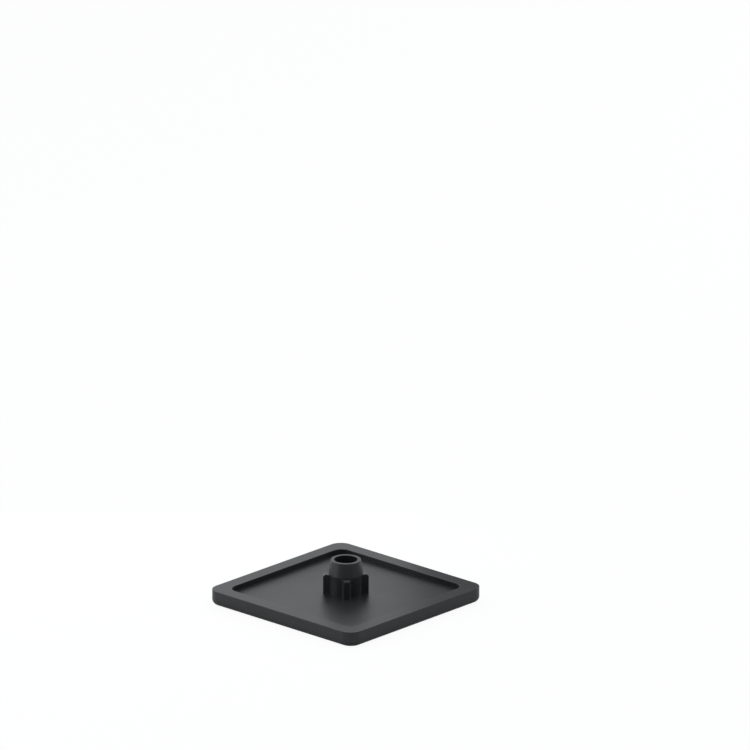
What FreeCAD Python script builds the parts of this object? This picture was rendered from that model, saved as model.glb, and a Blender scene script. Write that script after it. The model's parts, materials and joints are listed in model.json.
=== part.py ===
# Square end cap, 40 x 40 mm, with a peg that is pressed into a hole.
#
# The cap is one moulding, drawn with its outer face down. It is a square plate with round corners
# and a rounded outer edge. On the inner side a flat rim stands round a shallow recess, and a hollow
# peg with a tapered nose stands in the middle. Four ribs on the peg, turned towards the plate's
# corners, wedge in the hole.
#
# The origin is the middle of the outer face, and +Z runs along the peg. Sizes are in millimetres.

import FreeCAD, Part
import math
import os
import Sketcher

NODE = "end_cap"

# The driving dimensions. The sheet named Sizes holds them, and every outline and feature follows it.
SIZES = {
    "side_length": 40.0,
    "corner_radius": 2.7,
    "edge_height": 3.2,
    "face_edge_radius": 1.1,
    "rim_width": 3.0,
    "recess_depth": 1.1,
    "recess_corner_radius": 2.2,
    "peg_diameter": 7.0,
    "peg_height": 7.12,
    "nose_diameter": 6.1,
    "nose_length": 3.0,
    "bore_diameter": 4.75,
    "rib_count": 4,
    "rib_turn": 45.0,
    "rib_span": 9.25,
    "rib_tip_width": 1.15,
    "rib_flank_angle": 19.5,
    "rib_height": 4.1,
    "rib_lead_in": 0.4,
    "rim_edge_radius": 0.1,
    "nose_edge_radius": 0.05,
}

# Sizes that follow from the ones above. The same words serve as expressions on the sheet.
RECESS_SIDE = "(Sizes.side_length - 2 * Sizes.rim_width)"
FLOOR = "(Sizes.edge_height - Sizes.recess_depth)"
PEG_TOP = f"({FLOOR} + Sizes.peg_height)"
RIB_TOP = f"({FLOOR} + Sizes.rib_height)"
RIB_HEEL = "((Sizes.peg_diameter + Sizes.bore_diameter) / 4)"

# Edges are looked up by where they lie. Two lengths closer than this count as equal.
NEAR = 1e-4

# How a relation points at a line's ends, a circle's centre, an outline's two axes and its origin.
START, END, CENTRE = range(1, 4)
H_AXIS, V_AXIS = range(-1, -3, -1)
ORIGIN = (H_AXIS, START)


def make_sheet(doc):
    """The sheet of driving dimensions, with one named cell for each."""
    sheet = doc.addObject("Spreadsheet::Sheet", "Sizes")
    for row, (name, value) in enumerate(SIZES.items(), 1):
        sheet.set(f"A{row}", name)
        sheet.set(f"B{row}", str(value))
        sheet.setAlias(f"B{row}", name)
    doc.recompute()
    return sheet


def value_of(body, rule):
    """What an expression comes to with the sheet's present values."""
    return float(body.evalExpression(rule))


def origin_feature(body, role):
    """One of the body's own origin planes or axes."""
    return next(feature for feature in body.Origin.OriginFeatures if feature.Role == role)


def new_sketch(body, name, plane, height=None):
    """A sketch on one of the body's origin planes, lifted to a height where one is given."""
    sketch = body.newObject("Sketcher::SketchObject", name)
    sketch.AttachmentSupport = [(origin_feature(body, plane), "")]
    sketch.MapMode = "FlatFace"
    if height:
        sketch.setExpression("AttachmentOffset.Base.z", height)
    return sketch


def relate(sketch, *relations):
    """Adds relations that have no size of their own."""
    for relation in relations:
        sketch.addConstraint(Sketcher.Constraint(*relation))


def dimension(sketch, name, rule, kind, *where):
    """Adds a dimension and ties it to an expression."""
    value = value_of(sketch, rule)
    if kind == "Angle":
        value = math.radians(value)
    index = sketch.addConstraint(Sketcher.Constraint(kind, *where, value))
    sketch.renameConstraint(index, name)
    sketch.setExpression(f"Constraints.{name}", rule)


def rounded_square(sketch, side_rule, radius_rule):
    """A square with round corners about the sketch's origin."""
    edge = value_of(sketch, side_rule) / 2
    radius = value_of(sketch, radius_rule)
    upwards = FreeCAD.Vector(0, 0, 1)
    turns = [FreeCAD.Rotation(upwards, 90 * quarter) for quarter in range(4)]
    for turn in turns:
        ends = [turn.multVec(FreeCAD.Vector(x, -edge, 0)) for x in (radius - edge, edge - radius)]
        sketch.addGeometry(Part.LineSegment(*ends))
    for quarter, turn in enumerate(turns):
        middle = turn.multVec(FreeCAD.Vector(edge - radius, radius - edge, 0))
        circle = Part.Circle(middle, upwards, radius)
        start = math.pi / 2 * (quarter - 1)
        sketch.addGeometry(Part.ArcOfCircle(circle, start, start + math.pi / 2))
    for quarter in range(4):
        arc, following = 4 + quarter, (quarter + 1) % 4
        relate(
            sketch,
            ("Tangent", quarter, END, arc, START),
            ("Tangent", arc, END, following, START),
            ("Vertical" if quarter % 2 else "Horizontal", quarter),
        )
    relate(
        sketch,
        ("Equal", 4, 5),
        ("Equal", 5, 6),
        ("Equal", 6, 7),
        ("Symmetric", 4, CENTRE, 6, CENTRE, *ORIGIN),
    )
    dimension(sketch, "across", side_rule, "DistanceX", 3, START, 1, START)
    dimension(sketch, "along", side_rule, "DistanceY", 0, START, 2, START)
    dimension(sketch, "corner", radius_rule, "Radius", 4)


def closed_loop(sketch, corners):
    """Straight lines through the corners and back to the first, as a list of line numbers."""
    points = [FreeCAD.Vector(x, y, 0) for x, y in corners]
    lines = [
        sketch.addGeometry(Part.LineSegment(here, there))
        for here, there in zip(points, points[1:] + points[:1])
    ]
    for line, following in zip(lines, lines[1:] + lines[:1]):
        relate(sketch, ("Coincident", line, END, following, START))
    return lines


def lies_at(edge, height):
    """Whether an edge is level and lies at a height."""
    box = edge.BoundBox
    return abs(box.ZMin - height) < NEAR and abs(box.ZMax - height) < NEAR


def edges_where(feature, wanted):
    """The names of a feature's edges that pass a test."""
    return [f"Edge{n}" for n, edge in enumerate(feature.Shape.Edges, 1) if wanted(edge)]


def add_feature(body, kind, name, **properties):
    """A feature on top of the body's last one. Its properties are objects, or rules as text."""
    feature = body.newObject(f"PartDesign::{kind}", name)
    for key, value in properties.items():
        if isinstance(value, str):
            feature.setExpression(key, value)
        else:
            setattr(feature, key, value)
    body.Document.recompute()
    return feature


def add_plate(body):
    """The square plate, with its outer face's edge rounded."""
    outline = new_sketch(body, "plate_outline", "XY_Plane")
    rounded_square(outline, "Sizes.side_length", "Sizes.corner_radius")
    plate = add_feature(body, "Pad", "plate", Profile=outline, Length="Sizes.edge_height")
    face_edges = edges_where(plate, lambda edge: lies_at(edge, 0))
    add_feature(
        body, "Fillet", "face_edge", Base=(plate, face_edges), Radius="Sizes.face_edge_radius"
    )


def add_recess(body):
    """The shallow recess. It leaves a flat rim, on which the cap seats."""
    outline = new_sketch(body, "recess_outline", "XY_Plane", "Sizes.edge_height")
    rounded_square(outline, RECESS_SIDE, "Sizes.recess_corner_radius")
    add_feature(body, "Pocket", "recess", Profile=outline, Length="Sizes.recess_depth")


def add_peg(body):
    """The peg and its tapered nose, turned about the middle. It stands on the recess's floor."""
    profile = new_sketch(body, "peg_profile", "XZ_Plane")
    floor, top = value_of(body, FLOOR), value_of(body, PEG_TOP)
    shoulder = top - value_of(body, "Sizes.nose_length")
    wide = value_of(body, "Sizes.peg_diameter / 2")
    narrow = value_of(body, "Sizes.nose_diameter / 2")
    foot, side, taper, end, middle = closed_loop(
        profile, [(0, floor), (wide, floor), (wide, shoulder), (narrow, top), (0, top)]
    )
    relate(
        profile,
        ("Horizontal", foot),
        ("Vertical", side),
        ("Horizontal", end),
        ("Vertical", middle),
        ("PointOnObject", foot, START, V_AXIS),
    )
    dimension(profile, "floor", FLOOR, "DistanceY", *ORIGIN, foot, START)
    dimension(profile, "tall", "Sizes.peg_height", "DistanceY", foot, START, end, END)
    dimension(profile, "nose", "Sizes.nose_length", "DistanceY", taper, START, taper, END)
    dimension(profile, "wide", "Sizes.peg_diameter / 2", "DistanceX", foot, START, foot, END)
    dimension(profile, "narrow", "Sizes.nose_diameter / 2", "DistanceX", end, END, end, START)
    add_feature(body, "Revolution", "peg", Profile=profile, ReferenceAxis=(profile, ["V_Axis"]))


def add_ribs(body):
    """The wedging ribs: one with sloping flanks and a lead-in at its tip, repeated round the peg."""
    heel, reach = value_of(body, RIB_HEEL), value_of(body, "Sizes.rib_span / 2")
    tip = value_of(body, "Sizes.rib_tip_width / 2")
    slope = math.tan(math.radians(value_of(body, "Sizes.rib_flank_angle")))
    root = tip + (reach - heel) * slope
    plan = new_sketch(body, "rib_plan", "XY_Plane", FLOOR)
    plan.setExpression("AttachmentOffset.Rotation.Angle", "Sizes.rib_turn")
    flank, front, _, back = closed_loop(
        plan, [(heel, -root), (reach, -tip), (reach, tip), (heel, root)]
    )
    relate(
        plan,
        ("Symmetric", front, START, front, END, H_AXIS),
        ("Symmetric", back, START, back, END, H_AXIS),
    )
    dimension(plan, "reach", "Sizes.rib_span / 2", "DistanceX", *ORIGIN, front, START)
    dimension(plan, "heel", RIB_HEEL, "DistanceX", *ORIGIN, back, START)
    dimension(plan, "tip", "Sizes.rib_tip_width", "DistanceY", front, START, front, END)
    dimension(plan, "flank", "Sizes.rib_flank_angle", "Angle", flank)
    rib = add_feature(body, "Pad", "rib", Profile=plan, Length="Sizes.rib_height")

    ribs = add_feature(
        body,
        "PolarPattern",
        "ribs",
        Originals=[rib],
        Axis=(origin_feature(body, "Z_Axis"), [""]),
        Occurrences="Sizes.rib_count",
    )
    body.Tip = ribs
    rib_top = value_of(body, RIB_TOP)
    tips = edges_where(
        ribs,
        lambda edge: lies_at(edge, rib_top)
        and abs(edge.Length - 2 * tip) < NEAR
        and abs(edge.CenterOfMass.sub(FreeCAD.Vector(0, 0, rib_top)).Length - reach) < NEAR,
    )
    add_feature(body, "Chamfer", "lead_in", Base=(ribs, tips), Size="Sizes.rib_lead_in")


def add_bore(body):
    """The blind bore from the nose down to the recess's floor, which keeps the peg's wall thin."""
    mouth = new_sketch(body, "bore_mouth", "XY_Plane", PEG_TOP)
    radius = value_of(body, "Sizes.bore_diameter / 2")
    mouth.addGeometry(Part.Circle(FreeCAD.Vector(), FreeCAD.Vector(0, 0, 1), radius))
    relate(mouth, ("Coincident", 0, CENTRE, *ORIGIN))
    dimension(mouth, "bore", "Sizes.bore_diameter", "Diameter", 0)
    add_feature(body, "Pocket", "bore", Profile=mouth, Length="Sizes.peg_height")


def soften(body, name, height_rule, radius_rule):
    """Rounds every level edge at a height by a small radius."""
    height = value_of(body, height_rule)
    edges = edges_where(body.Tip, lambda edge: lies_at(edge, height))
    add_feature(body, "Fillet", name, Base=(body.Tip, edges), Radius=radius_rule)


def add_soft_edges(body):
    """The slight rounding on both top edges of the rim and both edges of the nose's end."""
    soften(body, "rim_edges", "Sizes.edge_height", "Sizes.rim_edge_radius")
    soften(body, "nose_edges", PEG_TOP, "Sizes.nose_edge_radius")


def make_end_cap(doc):
    """The whole cap as one body."""
    body = doc.addObject("PartDesign::Body", NODE)
    body.Label = NODE
    for step in (add_plate, add_recess, add_peg, add_ribs, add_bore, add_soft_edges):
        step(body)
        print(f"{step.__name__}: {body.Shape.Volume:.1f} cubic millimetres")
    return body


def check(doc, body):
    """Stops if a feature failed, a sketch is loose or the body isn't one sound solid."""
    for item in doc.Objects:
        if {"Invalid", "Error"} & set(item.State):
            raise RuntimeError(f"{item.Name} failed: {item.State}")
        if item.TypeId == "Sketcher::SketchObject" and not item.FullyConstrained:
            raise RuntimeError(f"{item.Name} is not fully constrained")
    shape = body.Shape
    if shape.isNull() or not shape.isValid() or len(shape.Solids) != 1:
        raise RuntimeError(f"{body.Label} is not one valid solid")


document = FreeCAD.newDocument("EndCap")
make_sheet(document)
cap = make_end_cap(document)
document.recompute()
check(document, cap)
os.makedirs("parts", exist_ok=True)
cap.Shape.exportStep(f"parts/{cap.Label}.step")
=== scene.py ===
# %% [markdown]
# # A moulded end cap
# The cap is one small black plastic moulding, 40 mm square. Its shape comes complete from the CAD
# model, and nothing is added to it here. The work is the plastic's finish, the light that shows it,
# and the camera. Lengths are in metres, so small ones are written as a number times MM. Where a
# name ends in mm, its value is in millimetres.

# %% Load the cap
import json
import math

import bpy
from mathutils import Matrix, Vector


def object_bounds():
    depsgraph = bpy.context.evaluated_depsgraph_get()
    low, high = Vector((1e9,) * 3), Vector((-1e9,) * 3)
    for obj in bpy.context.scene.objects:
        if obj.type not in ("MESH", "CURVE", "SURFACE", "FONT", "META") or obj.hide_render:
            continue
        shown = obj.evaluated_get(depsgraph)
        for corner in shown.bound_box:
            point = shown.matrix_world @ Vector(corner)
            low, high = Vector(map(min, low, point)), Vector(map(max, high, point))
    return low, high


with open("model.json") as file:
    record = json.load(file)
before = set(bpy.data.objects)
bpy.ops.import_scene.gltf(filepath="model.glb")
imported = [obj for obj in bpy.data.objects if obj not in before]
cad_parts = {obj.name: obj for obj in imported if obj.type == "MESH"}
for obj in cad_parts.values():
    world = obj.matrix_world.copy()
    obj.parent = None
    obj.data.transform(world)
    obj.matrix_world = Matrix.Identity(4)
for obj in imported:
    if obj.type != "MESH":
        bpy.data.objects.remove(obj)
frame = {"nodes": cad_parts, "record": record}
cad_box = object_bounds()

MM = 0.001
cap = frame["nodes"]["end_cap"]


def size_in_mm(box):
    """How long, wide and high a box is. It is given by its lowest and its highest corner."""
    lowest, highest = box
    return [round(length / MM, 2) for length in highest - lowest]


print("cap size in mm:", size_in_mm(cad_box))

# %% [markdown]
# ## The camera
# A product shot like this one is taken from far off with a long lens, so that the square's
# opposite sides stay almost parallel. The camera stands 2.5 m away along the viewing direction.
# It then turns a little off the cap, which puts the cap low and left of the middle of the frame.
# The lens could be shifted to the same end, but other views of the scene keep the shift.

# %% Place the camera
AZIMUTH, ELEVATION, ROLL = (math.radians(angle) for angle in (42.62, 19.724, 0.13))
DISTANCE = 2.5
SENSOR_MM = 36
FRAME_PIXELS = 750
PIXELS_PER_METRE = 4920.3
CAP_IN_FRAME = (345.805, 602.0)

backwards = Vector(
    (
        math.sin(AZIMUTH) * math.cos(ELEVATION),
        -math.cos(AZIMUTH) * math.cos(ELEVATION),
        math.sin(ELEVATION),
    )
)
focal_pixels = PIXELS_PER_METRE * DISTANCE
camera_data = bpy.data.cameras.new("camera")
camera_data.sensor_width = SENSOR_MM
camera_data.lens = focal_pixels / FRAME_PIXELS * SENSOR_MM
camera_data.clip_start = 0.1
camera_data.clip_end = 20
camera = bpy.data.objects.new("camera", camera_data)
bpy.context.scene.collection.objects.link(camera)
bpy.context.scene.camera = camera

right_of_middle = CAP_IN_FRAME[0] - FRAME_PIXELS / 2
below_middle = CAP_IN_FRAME[1] - FRAME_PIXELS / 2
to_cap = Vector((right_of_middle, -below_middle, -focal_pixels))
facing = (-backwards).to_track_quat("-Z", "Y").to_matrix()
rolled = facing @ Matrix.Rotation(ROLL, 3, "Z")
aimed = rolled @ to_cap.rotation_difference(Vector((0, 0, -1))).to_matrix()
camera.matrix_world = Matrix.Translation(backwards * DISTANCE) @ aimed.to_4x4()
print("lens in mm:", round(camera_data.lens, 1))

# %% [markdown]
# ## Shader nodes in few words
# Every surface and the room's light are made from shader nodes. Adding a node, setting it up and
# linking it takes several lines each time, so four helpers say it in one: one adds any node, one
# adds a Math node, one mixes two shaders, and one starts an empty material.

# %% Write the node helpers
def add_node(tree, kind, sockets=None, **settings):
    """Add a node. Each socket takes a plain value or another node's output."""
    node = tree.nodes.new(kind)
    for setting, value in settings.items():
        setattr(node, setting, value)
    for socket, value in (sockets or {}).items():
        if isinstance(value, bpy.types.NodeSocket):
            tree.links.new(value, node.inputs[socket])
        else:
            node.inputs[socket].default_value = value
    return node


def calc(tree, operation, *terms):
    """The result of a Math node whose terms are numbers or other nodes' outputs."""
    node = add_node(tree, "ShaderNodeMath", dict(enumerate(terms)), operation=operation)
    return node.outputs["Value"]


def mix_shaders(tree, share, first, second):
    """The first node's shader where the share is 0, the second's where it is 1."""
    sockets = {"Fac": share, 1: first.outputs[0], 2: second.outputs[0]}
    return add_node(tree, "ShaderNodeMixShader", sockets).outputs["Shader"]


def new_material(name):
    """A material with no nodes yet, and its node tree."""
    material = bpy.data.materials.new(name)
    material.use_nodes = True
    material.node_tree.nodes.clear()
    return material, material.node_tree


print("made the node helpers: add_node, calc, mix_shaders, new_material")

# %% [markdown]
# ## The table
# The cap lies with its outer face on a plain table. One large square is enough for that. It lies a
# hair below the outer face, because two faces at the same place show through each other in specks.

# %% Make the table
TABLE_SIDE = 6.0
TABLE_DROP = 0.02 * MM

signs = [(-1, -1), (1, -1), (1, 1), (-1, 1)]
corners = [(TABLE_SIDE / 2 * x, TABLE_SIDE / 2 * y, -TABLE_DROP) for x, y in signs]
table_mesh = bpy.data.meshes.new("table")
table_mesh.from_pydata(corners, [], [(0, 1, 2, 3)])
table = bpy.data.objects.new("table", table_mesh)
bpy.context.scene.collection.objects.link(table)
print("table side in metres:", TABLE_SIDE)

# %% [markdown]
# ## The table's white
# A white that is only lit never comes out even, so the camera is shown mostly a plain white, with a
# little of the lit surface mixed in. That little share is what keeps a trace of the cap's shadow. It
# is dimmer than the plain white, whose level is a touch over 1 to make up for it. All other light
# rays meet the lit surface alone, so the cap mirrors a real table.

# %% Paint the table
LIT_WHITE = (0.8, 0.8, 0.8, 1)
PLAIN_LEVEL = 1.03
PLAIN_SHARE = 0.9

table_white, tree = new_material("table_white")
lit = add_node(tree, "ShaderNodeBsdfDiffuse", {"Color": LIT_WHITE})
plain = add_node(tree, "ShaderNodeEmission", {"Strength": PLAIN_LEVEL})
from_camera = add_node(tree, "ShaderNodeLightPath").outputs["Is Camera Ray"]
share = calc(tree, "MULTIPLY", from_camera, PLAIN_SHARE)
add_node(tree, "ShaderNodeOutputMaterial", {"Surface": mix_shaders(tree, share, lit, plain)})
table_mesh.materials.append(table_white)
print("share of plain white that the camera sees:", PLAIN_SHARE)

# %% [markdown]
# ## The room
# Black plastic hardly shows its own colour. What the eye reads is the light that it mirrors, so each
# face needs something bright to mirror. The room is a dim grey dome that brightens overhead, as
# under a white ceiling. A picture of a real studio could do the same, but two numbers are easier to
# tune. The light is a touch cool, like daylight tubes. The camera itself sees a plain white room.

# %% Light the room
COOL_WHITE = (0.928, 0.965, 1.0)
PLAIN_WHITE = (1, 1, 1, 1)
ROOM_LEVEL = 0.25
CEILING_LEVEL = 0.80


def height_of(tree, vector):
    """The upward part of a vector."""
    return add_node(tree, "ShaderNodeSeparateXYZ", {"Vector": vector}).outputs["Z"]


world = bpy.data.worlds.new("studio")
bpy.context.scene.world = world
world.use_nodes = True
tree = world.node_tree
tree.nodes.clear()
direction = add_node(tree, "ShaderNodeTexCoord").outputs["Generated"]
upward = calc(tree, "MAXIMUM", height_of(tree, direction), 0.0)
overhead = calc(tree, "POWER", upward, 2.0)
level = calc(tree, "MULTIPLY_ADD", overhead, CEILING_LEVEL, ROOM_LEVEL)
dome = add_node(tree, "ShaderNodeBackground", {"Color": (*COOL_WHITE, 1), "Strength": level})
backdrop = add_node(tree, "ShaderNodeBackground", {"Color": PLAIN_WHITE, "Strength": 1.0})
from_camera = add_node(tree, "ShaderNodeLightPath").outputs["Is Camera Ray"]
add_node(tree, "ShaderNodeOutputWorld", {"Surface": mix_shaders(tree, from_camera, dome, backdrop)})
print("dome level at the horizon and overhead:", ROOM_LEVEL, ROOM_LEVEL + CEILING_LEVEL)

# %% [markdown]
# ## A soft box
# A soft box is a flat lamp behind white cloth. Blender's area lamp gives the same light, and it is
# hidden from the camera. Its place is given as a photographer would say it: so far to the right,
# away from the camera and up. Its watts are worked out from how bright it should look, so its size
# can be changed by itself.

# %% Write the soft box helpers
ACROSS = Vector((math.cos(AZIMUTH), math.sin(AZIMUTH), 0))
AWAY = Vector((-math.sin(AZIMUTH), math.cos(AZIMUTH), 0))
UP = Vector((0, 0, 1))
MIDDLE = Vector((0, 0, 0))


def beside(across, away, up):
    """A point given in metres across the view, away from the camera and up."""
    return ACROSS * across + AWAY * away + UP * up


def softbox(name, across, away, up, width, height, radiance, aim=MIDDLE):
    """A rectangular lamp that faces a point. It is as bright as a screen of that radiance."""
    position = beside(across, away, up)
    lamp_data = bpy.data.lights.new(name, "AREA")
    lamp_data.shape = "RECTANGLE"
    lamp_data.size = width
    lamp_data.size_y = height
    lamp_data.energy = radiance * math.pi * width * height
    lamp_data.color = COOL_WHITE
    lamp = bpy.data.objects.new(name, lamp_data)
    lamp.location = position
    lamp.rotation_euler = (aim - position).to_track_quat("-Z", "Y").to_euler()
    lamp.visible_camera = False
    bpy.context.scene.collection.objects.link(lamp)
    print(name, round(lamp_data.energy, 3), "watts")


print("made the soft box helpers: beside, softbox")

# %% [markdown]
# ## The panel behind the cap
# This soft box matters most, because the flat recess mirrors it. It stands close and upright, and it
# ends a little right of the peg, so the recess fades from light to dark towards the right corner.

# %% Place the back panel
PANEL_WIDTH = 0.214
PANEL_RIGHT_END = 0.014
PANEL_UP = 0.06

panel_across = PANEL_RIGHT_END - PANEL_WIDTH / 2
softbox(
    "back_panel",
    across=panel_across,
    away=0.055,
    up=PANEL_UP,
    width=PANEL_WIDTH,
    height=0.12,
    radiance=0.615,
    aim=beside(panel_across, 0, PANEL_UP),
)

# %% [markdown]
# ## The other soft boxes
# The low strip at the left lights the side that faces it, and the others fill the peg and the right
# side. All four face the cap's middle.

# %% Place the other soft boxes
softbox("left_box", across=-0.25, away=0.0, up=0.12, width=0.45, height=0.22, radiance=0.41)
softbox("left_strip", across=-0.30, away=-0.05, up=0.05, width=0.20, height=0.10, radiance=2.25)
softbox("right_box", across=0.45, away=0.0, up=0.20, width=0.40, height=0.30, radiance=0.44)
softbox("far_right_box", across=0.35, away=0.35, up=0.20, width=0.30, height=0.30, radiance=1.73)

# %% [markdown]
# ## Groups for the finish
# A moulded surface carries several finishes at once. Each one below is a node group, built once,
# whose named inputs set it. It gives back a mask from 0 to 1, a height in micrometres or a chosen
# value, and the plastic puts them together at the end. The nodes could all lie loose in the
# material, but a group can be read, set and placed again by itself.

# %% Write the group helper
def new_group(name, inputs, output):
    """A node group, what it is given through its inputs, and the socket of its one output."""
    group = bpy.data.node_groups.new(name, "ShaderNodeTree")
    for label, value in inputs.items():
        socket = group.interface.new_socket(label, in_out="INPUT", socket_type="NodeSocketFloat")
        socket.default_value = value
    group.interface.new_socket(output, in_out="OUTPUT", socket_type="NodeSocketFloat")
    given = add_node(group, "NodeGroupInput").outputs
    result = add_node(group, "NodeGroupOutput").inputs[output]
    print(f"{name}: takes {', '.join(inputs)} and gives {output}")
    return group, given, result


print("made the group helper: new_group")

# %% [markdown]
# ## Patterns on the cap
# A pattern is read at a point of the surface, in the cap's own coordinates. Painted images could do
# the same, but these patterns need no unwrapping and stay sharp at any distance. Their sizes are
# given in millimetres, as on a drawing, and turned into how many fit in a metre, which is what
# Blender asks for. A ramp then keeps the part of a pattern that is wanted.

# %% Write the pattern helpers
def cap_point(tree):
    """The surface point in the cap's own coordinates, in metres."""
    return add_node(tree, "ShaderNodeTexCoord").outputs["Object"]


def per_metre(tree, pattern_mm):
    """How many patterns of a size in millimetres fit in a metre."""
    return calc(tree, "DIVIDE", 1 / MM, pattern_mm)


def noise(tree, vector, scale, detail=2.0):
    """A cloudy value about 0.5. The scale is how many clouds fit in one unit of the vector."""
    sockets = {"Vector": vector, "Scale": scale, "Detail": detail}
    return add_node(tree, "ShaderNodeTexNoise", sockets).outputs["Fac"]


def ramp(tree, value, low, high):
    """A soft step from 0, up to the low value, to 1, from the high value on."""
    sockets = {"Value": value, "From Min": low, "From Max": high}
    node = add_node(tree, "ShaderNodeMapRange", sockets, interpolation_type="SMOOTHSTEP")
    return node.outputs["Result"]


print("made the pattern helpers: cap_point, per_metre, noise, ramp")

# %% [markdown]
# ## The spark grain
# The steel of such a mould is cut by sparks, which leave it covered with small shallow craters. The
# plastic copies them, and they make it satin and not glossy. The cells of a Voronoi pattern have the
# shape of craters, and a finer noise roughens them. Real displacement would look the same and need
# millions of faces.

# %% Build the spark grain
GRIT_PER_CRATER = 2.6
GRIT_SHARE = 0.5

spark_grain, given, height = new_group("spark grain", {"Size in mm": 0.25, "Depth": 4.0}, "Height")
cells = per_metre(spark_grain, given["Size in mm"])
cell_sockets = {"Vector": cap_point(spark_grain), "Scale": cells}
crater = add_node(spark_grain, "ShaderNodeTexVoronoi", cell_sockets).outputs["Distance"]
grit_scale = calc(spark_grain, "MULTIPLY", cells, GRIT_PER_CRATER)
grit = noise(spark_grain, cap_point(spark_grain), grit_scale)
rough_crater = calc(spark_grain, "MULTIPLY_ADD", grit, GRIT_SHARE, crater)
spark_grain.links.new(calc(spark_grain, "MULTIPLY", rough_crater, given["Depth"]), height)

# %% [markdown]
# ## The level faces
# Three level faces differ in finish: the outer face that the cap lies on, the floor of the recess
# and the rim. At the height of each, the model's record has a mount, a place where the cap can meet
# another part. So the heights are read from there and not written again, and follow the model.

# %% Find the level faces
mount_points = {mount["name"]: mount["pos_m"] for mount in frame["record"]["mounts"]}
LEVELS = {
    "Recess": mount_points["core_plug"][2],
    "Rim": mount_points["rim_seat"][2],
    "Outer face": mount_points["outer_face"][2],
}
print("heights in mm:", {label: round(level / MM, 2) for label, level in LEVELS.items()})

# %% [markdown]
# ## A value for each place
# A mould is put together from several pieces of steel, and each was finished by itself. The recess
# has the deepest grain. It is shallower on the rim and the sides, and shallowest on the peg, which
# is made in a narrow polished hole and has to slip out. Each face could have a material of its own,
# but a point's height and its distance from the middle already tell where it lies. So this group
# takes one value for each place and gives back the right one. Within the peg's reach and above the
# recess's floor, there is only the peg.

# %% Build the choice by place
PEG_REACH = 4.8 * MM
SAME_LEVEL = 0.03 * MM


def vector_calc(tree, operation, *terms):
    """The result of a Vector Math node. A length comes out of a socket of its own."""
    node = add_node(tree, "ShaderNodeVectorMath", dict(enumerate(terms)), operation=operation)
    return node.outputs["Value" if operation == "LENGTH" else "Vector"]


def flat_length(tree, vector):
    """How long a vector is without its upward part."""
    return vector_calc(tree, "LENGTH", vector_calc(tree, "MULTIPLY", vector, (1, 1, 0)))


def blend(tree, share, first, second):
    """The first number where the share is 0, the second where it is 1."""
    # The Mix node has like-named sockets for each kind of value, so they go by their places.
    return add_node(tree, "ShaderNodeMix", {0: share, 2: first, 3: second}).outputs[0]


inputs = dict.fromkeys(["Sides", *LEVELS, "Peg"], 1.0)
by_place, given, value = new_group("by place", inputs, "Value")
level = height_of(by_place, cap_point(by_place))
chosen = given["Sides"]
for label, face_level in LEVELS.items():
    is_here = calc(by_place, "COMPARE", level, face_level, SAME_LEVEL)
    chosen = blend(by_place, is_here, chosen, given[label])
is_inside = calc(by_place, "LESS_THAN", flat_length(by_place, cap_point(by_place)), PEG_REACH)
is_above = calc(by_place, "GREATER_THAN", level, LEVELS["Recess"] + SAME_LEVEL)
is_peg = calc(by_place, "MULTIPLY", is_inside, is_above)
by_place.links.new(blend(by_place, is_peg, chosen, given["Peg"]), value)

# %% [markdown]
# ## Flow clouds
# The melt enters the mould at one spot and cools as it spreads. So a black moulding is never quite
# even, and its black and its gloss drift in soft clouds of about a centimetre. One noise makes them.
# It keeps near its middle value, so a ramp spreads it over the whole way from 0 to 1.

# %% Build the flow clouds
CLOUD_RANGE = (0.3, 0.7)

flow_clouds, given, cloud = new_group("flow clouds", {"Size in mm": 9.0}, "Cloud")
clouds = per_metre(flow_clouds, given["Size in mm"])
soft = noise(flow_clouds, cap_point(flow_clouds), clouds, detail=3.0)
flow_clouds.links.new(ramp(flow_clouds, soft, *CLOUD_RANGE), cloud)

# %% [markdown]
# ## Draw lines
# The mould opens along the peg, and its steel rubs along the upright walls as it leaves them. That
# draws faint lines on them. Noise that is stretched thirty times along Z turns into such lines on
# every upright wall, whichever way it faces. Level faces leave the mould squarely and get none.

# %% Build the draw lines
LINE_STRETCH = 30


def levelness(tree):
    """1 where the surface is level and 0 where it is upright."""
    facing_way = add_node(tree, "ShaderNodeTexCoord").outputs["Normal"]
    return calc(tree, "ABSOLUTE", height_of(tree, facing_way))


draw_lines, given, height = new_group("draw lines", {"Spacing in mm": 0.15, "Depth": 1.0}, "Height")
drawn_point = vector_calc(draw_lines, "MULTIPLY", cap_point(draw_lines), (1, 1, 1 / LINE_STRETCH))
line = noise(draw_lines, drawn_point, per_metre(draw_lines, given["Spacing in mm"]))
uprightness = calc(draw_lines, "SUBTRACT", 1.0, levelness(draw_lines))
depth_here = calc(draw_lines, "MULTIPLY", uprightness, given["Depth"])
draw_lines.links.new(calc(draw_lines, "MULTIPLY", line, depth_here), height)
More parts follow.
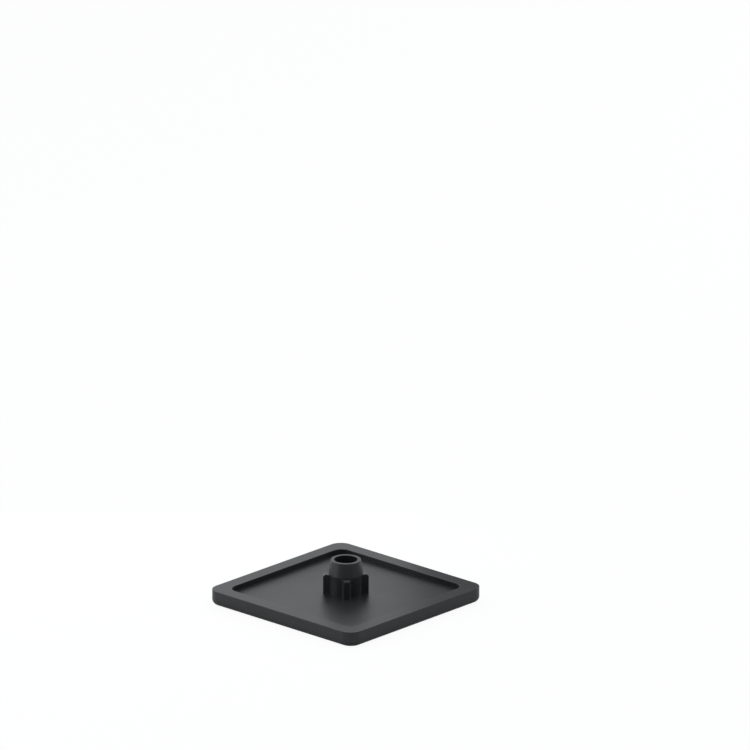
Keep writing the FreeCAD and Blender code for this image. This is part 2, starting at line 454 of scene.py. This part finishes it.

# %% [markdown]
# ## Where the edges are
# Caps are packed loose and rub against each other at their edges, and the edges also get a painted
# highlight. The Ambient Occlusion node could find the edges of any shape, but it is grainy. This
# cap's edges are few and lie level, each at one height over one outline, which is a square with round
# corners. A circle is one too, with corners that meet. So every edge is three sizes here: its height,
# its side and its corner's radius. The rim's mount lies in the middle of the rim, which gives its
# width. The outer face's edge is rounded and counts where it stands out most, 0.3 mm in from face and
# side.

# %% List the edges
lowest, highest = cad_box
SIDE = highest.x - lowest.x
RIM_WIDTH = SIDE - 2 * mount_points["rim_seat"][0]
PLATE_CORNER = 2.7 * MM
RECESS_CORNER = 2.2 * MM
FACE_EDGE_INSET = 0.3 * MM
RIB_HEIGHT = 4.1 * MM
RIB_SPAN = 9.25 * MM
NOSE_WIDTH = 6.1 * MM
EDGES = {
    "rim, outer": (LEVELS["Rim"], SIDE, PLATE_CORNER),
    "rim, inner": (LEVELS["Rim"], SIDE - 2 * RIM_WIDTH, RECESS_CORNER),
    "outer face": (FACE_EDGE_INSET, SIDE - 2 * FACE_EDGE_INSET, PLATE_CORNER - FACE_EDGE_INSET),
    "rib tops": (LEVELS["Recess"] + RIB_HEIGHT, RIB_SPAN, RIB_SPAN / 2),
    "nose": (highest.z, NOSE_WIDTH, NOSE_WIDTH / 2),
}
for name, sizes in EDGES.items():
    print(name, "edge in mm:", [round(size / MM, 2) for size in sizes])

# %% [markdown]
# ## Rubbed and highlit edges
# Rubbed edges turn a little smoother than the faces. They are also painted a lighter grey, which is
# partly wear and partly a painted highlight along each edge. The mask is strongest on the edge and
# fades out over its reach, by the distance to the nearest edge. A noise breaks the band into patches,
# because no edge is rubbed evenly.

# %% Build the rubbed and highlit edges
FAR_OFF = 1.0
PATCH_RANGE = (0.35, 0.6)
LEAST_RUB_AND_HIGHLIGHT = 0.3


def from_outline(tree, side, corner):
    """How far the point lies from the wall that stands on a square with round corners."""
    straight = side / 2 - corner
    offset = vector_calc(tree, "ABSOLUTE", cap_point(tree))
    offset = vector_calc(tree, "SUBTRACT", offset, (straight, straight, 0))
    offset = vector_calc(tree, "MAXIMUM", offset, (0, 0, 0))
    return calc(tree, "ABSOLUTE", calc(tree, "SUBTRACT", flat_length(tree, offset), corner))


# This edge mask also places a painted highlight: where it lightens the colour, it stands in for light
# caught on the edges.
rubbed_and_highlit_edges, given, rub_and_highlight = new_group("rubbed edges", {"Reach in mm": 0.3, "Patch in mm": 1.5}, "Rub")
level = height_of(rubbed_and_highlit_edges, cap_point(rubbed_and_highlit_edges))
nearest = FAR_OFF
for edge_level, side, corner in EDGES.values():
    off_level = calc(rubbed_and_highlit_edges, "ABSOLUTE", calc(rubbed_and_highlit_edges, "SUBTRACT", level, edge_level))
    off_outline = from_outline(rubbed_and_highlit_edges, side, corner)
    distance = calc(rubbed_and_highlit_edges, "MAXIMUM", off_level, off_outline)
    nearest = calc(rubbed_and_highlit_edges, "MINIMUM", nearest, distance)
reach = calc(rubbed_and_highlit_edges, "MULTIPLY", given["Reach in mm"], MM)
closeness = calc(rubbed_and_highlit_edges, "SUBTRACT", 1.0, ramp(rubbed_and_highlit_edges, nearest, 0.0, reach))
patches = noise(rubbed_and_highlit_edges, cap_point(rubbed_and_highlit_edges), per_metre(rubbed_and_highlit_edges, given["Patch in mm"]))
patchy = blend(rubbed_and_highlit_edges, ramp(rubbed_and_highlit_edges, patches, *PATCH_RANGE), LEAST_RUB_AND_HIGHLIGHT, 1.0)
rubbed_and_highlit_edges.links.new(calc(rubbed_and_highlit_edges, "MULTIPLY", closeness, patchy), rub_and_highlight)

# %% [markdown]
# ## Hairlines
# The packing also leaves hair-fine scratches on the level faces, on which the caps slide. Noise that
# is stretched a hundred times in one direction gives long thin streaks, and only their crests are
# kept. A second, broad noise wipes most of them away, so that the rest come in short runs. Scratches
# drawn one by one would need their places listed.

# %% Build the hairlines
STREAKS_PER_METRE = (70, 7000, 0)
CREST_RANGE = (0.74, 0.80)
RUN_MM = 4.0
RUN_RANGE = (0.5, 0.65)
LEVEL_RANGE = (0.95, 1.0)

hairlines, given, line = new_group("hairlines", {"Angle": 0.5}, "Line")
turn = {"Vector": cap_point(hairlines), "Angle": given["Angle"]}
turned = add_node(hairlines, "ShaderNodeVectorRotate", turn, rotation_type="Z_AXIS").outputs["Vector"]
stretched = vector_calc(hairlines, "MULTIPLY", turned, STREAKS_PER_METRE)
crest = ramp(hairlines, noise(hairlines, stretched, 1.0, detail=0.0), *CREST_RANGE)
broad = noise(hairlines, turned, per_metre(hairlines, RUN_MM), detail=1.0)
short_crest = calc(hairlines, "MULTIPLY", crest, ramp(hairlines, broad, *RUN_RANGE))
is_level = ramp(hairlines, levelness(hairlines), *LEVEL_RANGE)
hairlines.links.new(calc(hairlines, "MULTIPLY", short_crest, is_level), line)

# %% [markdown]
# ## The black plastic
# The finishes now come together in one material. The clouds, the rub with its painted edge highlight
# and the hairlines each change more than one property, so they are placed first and shared. The
# hairlines are placed three times, turned to three directions, because the caps slide every way.

# %% Start the black plastic
HAIRLINE_ANGLES = (0.4, 1.5, 2.6)


def place(tree, group, **values):
    """What a group gives back when it is placed. A low line in a name stands for a space."""
    sockets = {label.replace("_", " "): value for label, value in values.items()}
    return add_node(tree, "ShaderNodeGroup", sockets, node_tree=group).outputs[0]


black_plastic, tree = new_material("black_plastic")
cloud = place(tree, flow_clouds, Size_in_mm=9.0)
# The edge mask, which polishes the edges and also paints a highlight on them.
rub_and_highlight = place(tree, rubbed_and_highlit_edges, Reach_in_mm=0.3, Patch_in_mm=1.5)
scratch = 0.0
for angle in HAIRLINE_ANGLES:
    scratch = calc(tree, "MAXIMUM", scratch, place(tree, hairlines, Angle=angle))
print("hairline directions:", len(HAIRLINE_ANGLES))

# %% [markdown]
# ## Its colour
# The plastic is dyed through with soot: a near-black that sends back about one part in eighty of the
# light. One flat black would look like paint, so it drifts between two blacks with the clouds.
# Hairlines are greyer, as scuffed plastic is. The edges are painted the same grey, partly as wear and
# partly as a painted highlight.

# %% Mix the colour
DEEP_BLACK = (0.0110, 0.0115, 0.0121, 1)
SOFT_BLACK = (0.0136, 0.0141, 0.0148, 1)
# The grey of hairlines and edges; on the edges it is partly a painted highlight.
WEAR_AND_HIGHLIGHT_GREY = (0.042, 0.043, 0.044, 1)
RUB_AND_HIGHLIGHT_SHARE = 0.45
SCRATCH_SHARE = 0.3


def blend_colours(tree, share, first, second):
    """The first colour where the share is 0, the second where it is 1."""
    sockets = {0: share, 6: first, 7: second}
    return add_node(tree, "ShaderNodeMix", sockets, data_type="RGBA").outputs[2]


# Lighter grey on the edges: partly wear, partly a painted highlight.
rub_and_highlight_grey = calc(tree, "MULTIPLY", rub_and_highlight, RUB_AND_HIGHLIGHT_SHARE)
scratch_grey = calc(tree, "MULTIPLY", scratch, SCRATCH_SHARE)
black = blend_colours(tree, cloud, DEEP_BLACK, SOFT_BLACK)
colour = blend_colours(tree, calc(tree, "MAXIMUM", rub_and_highlight_grey, scratch_grey), black, WEAR_AND_HIGHLIGHT_GREY)
print("deepest and softest black:", DEEP_BLACK[:3], SOFT_BLACK[:3])

# %% [markdown]
# ## Its gloss
# The colour says little on a black part, and the eye reads the finish from its gloss. Roughness sets
# it: a satin of about 0.38, a little smoother on the rim and the peg. The clouds shift it both ways,
# and rubbed edges are polished.

# %% Mix the gloss
CLOUD_SHIFT = 0.03
RUB_POLISH = 0.05

satin = place(tree, by_place, Sides=0.38, Recess=0.38, Rim=0.37, Outer_face=0.38, Peg=0.36)
about_zero = calc(tree, "SUBTRACT", cloud, 0.5)
clouded = calc(tree, "MULTIPLY_ADD", about_zero, CLOUD_SHIFT, satin)
roughness = calc(tree, "MULTIPLY_ADD", rub_and_highlight, -RUB_POLISH, clouded)
print("roughness shifts from clouds and from rub:", CLOUD_SHIFT / 2, RUB_POLISH)

# %% [markdown]
# ## Its relief
# The relief has a coarse and a fine grain, the draw lines and the hairlines, which are cut in. Their
# heights are in micrometres. They are added up and go through one Bump node, whose distance is a
# micrometre. A Bump node for each would do the same with more nodes.

# %% Mix the relief
MICROMETRE = 0.001 * MM
FINE_SHARE = 0.4
SCRATCH_DEPTH = 1.0

depth = place(tree, by_place, Sides=7.0, Recess=12.0, Rim=8.0, Outer_face=10.0, Peg=5.0)
fine_depth = calc(tree, "MULTIPLY", depth, FINE_SHARE)
coarse_grain = place(tree, spark_grain, Size_in_mm=0.32, Depth=depth)
fine_grain = place(tree, spark_grain, Size_in_mm=0.12, Depth=fine_depth)
wall_lines = place(tree, draw_lines, Spacing_in_mm=0.15, Depth=4.0)
raised = calc(tree, "ADD", calc(tree, "ADD", coarse_grain, fine_grain), wall_lines)
relief = calc(tree, "MULTIPLY_ADD", scratch, -SCRATCH_DEPTH, raised)
bump = add_node(tree, "ShaderNodeBump", {"Distance": MICROMETRE, "Height": relief})
print("one unit of height in metres:", MICROMETRE)

# %% [markdown]
# ## The finished plastic
# Colour, gloss and relief go into one Principled BSDF, with the refraction index of common plastics.
# It then fills the cap's material slots in place of the model's plain colour.

# %% Fill the cap's slots
PLASTIC_IOR = 1.5

skin_sockets = {"Base Color": colour, "Roughness": roughness, "Normal": bump.outputs["Normal"]}
skin = add_node(tree, "ShaderNodeBsdfPrincipled", {"IOR": PLASTIC_IOR, **skin_sockets})
add_node(tree, "ShaderNodeOutputMaterial", {"Surface": skin.outputs["BSDF"]})
for slot in cap.material_slots:
    slot.material = black_plastic
print("material slots filled:", len(cap.material_slots))

# %% [markdown]
# ## The view transform
# The view transform is set to Standard, so that a colour shows as it is written.

# %% Set the view transform
bpy.context.scene.view_settings.view_transform = "Standard"
